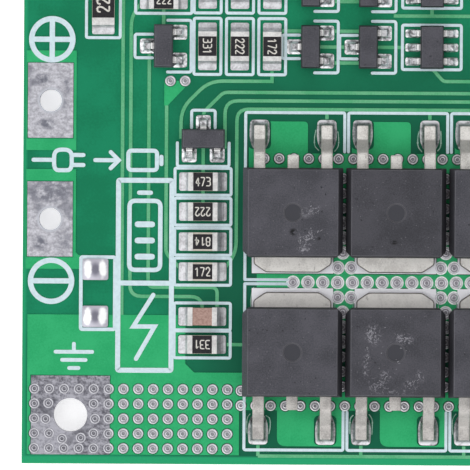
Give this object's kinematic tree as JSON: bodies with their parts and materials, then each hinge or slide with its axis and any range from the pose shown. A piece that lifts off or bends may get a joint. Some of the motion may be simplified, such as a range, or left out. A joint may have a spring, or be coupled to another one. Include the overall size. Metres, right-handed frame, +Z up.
{
  "type": "battery protection module",
  "caption": "Green circuit board with two rows of black power transistors, small monitor parts and tinned wire holes; guards a battery pack's cells while charging and in use.",
  "frame": {"origin": "middle of the board's underside", "axes": "+X to the right along the board's long side, +Y to the back edge with the cell taps, +Z up out of the parts side"},
  "size_m": [0.056, 0.051, 0.004],
  "materials": {
    "board_lacquer": "smooth green solder mask",
    "copper_lacquer": "smooth pale green mask over copper",
    "track_lacquer": "thin pale green mask over tracks",
    "tinned_pad": "dull scuffed tin plating",
    "solder": "bright solder",
    "moulded_black": "fine-grained moulding",
    "tinned_lead": "matte tin plating",
    "resistor_coat": "black glassy coat on pale ceramic",
    "chip_cap": "bright tin plating",
    "capacitor_ceramic": "fired pink-brown ceramic"
  },
  "bodies": {
    "root": {"circuit_board": "board_lacquer", "power_pours": "copper_lacquer", "signal_tracks": "track_lacquer", "via_plugs": "solder", "charge_terminals": "tinned_pad", "battery_terminals": "tinned_pad", "discharge_terminals": "tinned_pad", "tap_terminals": "tinned_pad", "power_solder": "solder", "transistor_solder": "solder", "chip_solder": "solder", "resistor_bodies": "resistor_coat", "resistor_caps": "chip_cap", "bleed_resistor_bodies": "resistor_coat", "bleed_resistor_caps": "chip_cap", "capacitor_bodies": "capacitor_ceramic", "capacitor_caps": "chip_cap", "upper_mosfet_1_body": "moulded_black", "upper_mosfet_1_leads": "tinned_lead", "upper_mosfet_2_body": "moulded_black", "upper_mosfet_2_leads": "tinned_lead", "upper_mosfet_3_body": "moulded_black", "upper_mosfet_3_leads": "tinned_lead", "upper_mosfet_4_body": "moulded_black", "upper_mosfet_4_leads": "tinned_lead", "lower_mosfet_1_body": "moulded_black", "lower_mosfet_1_leads": "tinned_lead", "lower_mosfet_2_body": "moulded_black", "lower_mosfet_2_leads": "tinned_lead", "lower_mosfet_3_body": "moulded_black", "lower_mosfet_3_leads": "tinned_lead", "lower_mosfet_4_body": "moulded_black", "lower_mosfet_4_leads": "tinned_lead", "transistor_1_body": "moulded_black", "transistor_1_leads": "tinned_lead", "transistor_2_body": "moulded_black", "transistor_2_leads": "tinned_lead", "transistor_3_body": "moulded_black", "transistor_3_leads": "tinned_lead", "transistor_4_body": "moulded_black", "transistor_4_leads": "tinned_lead", "transistor_5_body": "moulded_black", "transistor_5_leads": "tinned_lead", "transistor_6_body": "moulded_black", "transistor_6_leads": "tinned_lead", "transistor_7_body": "moulded_black", "transistor_7_leads": "tinned_lead", "transistor_8_body": "moulded_black", "transistor_8_leads": "tinned_lead", "transistor_9_body": "moulded_black", "transistor_9_leads": "tinned_lead", "cell_monitor_1_body": "moulded_black", "cell_monitor_1_leads": "tinned_lead", "cell_monitor_2_body": "moulded_black", "cell_monitor_2_leads": "tinned_lead", "cell_monitor_3_body": "moulded_black", "cell_monitor_3_leads": "tinned_lead"}
  },
  "joints": []
}
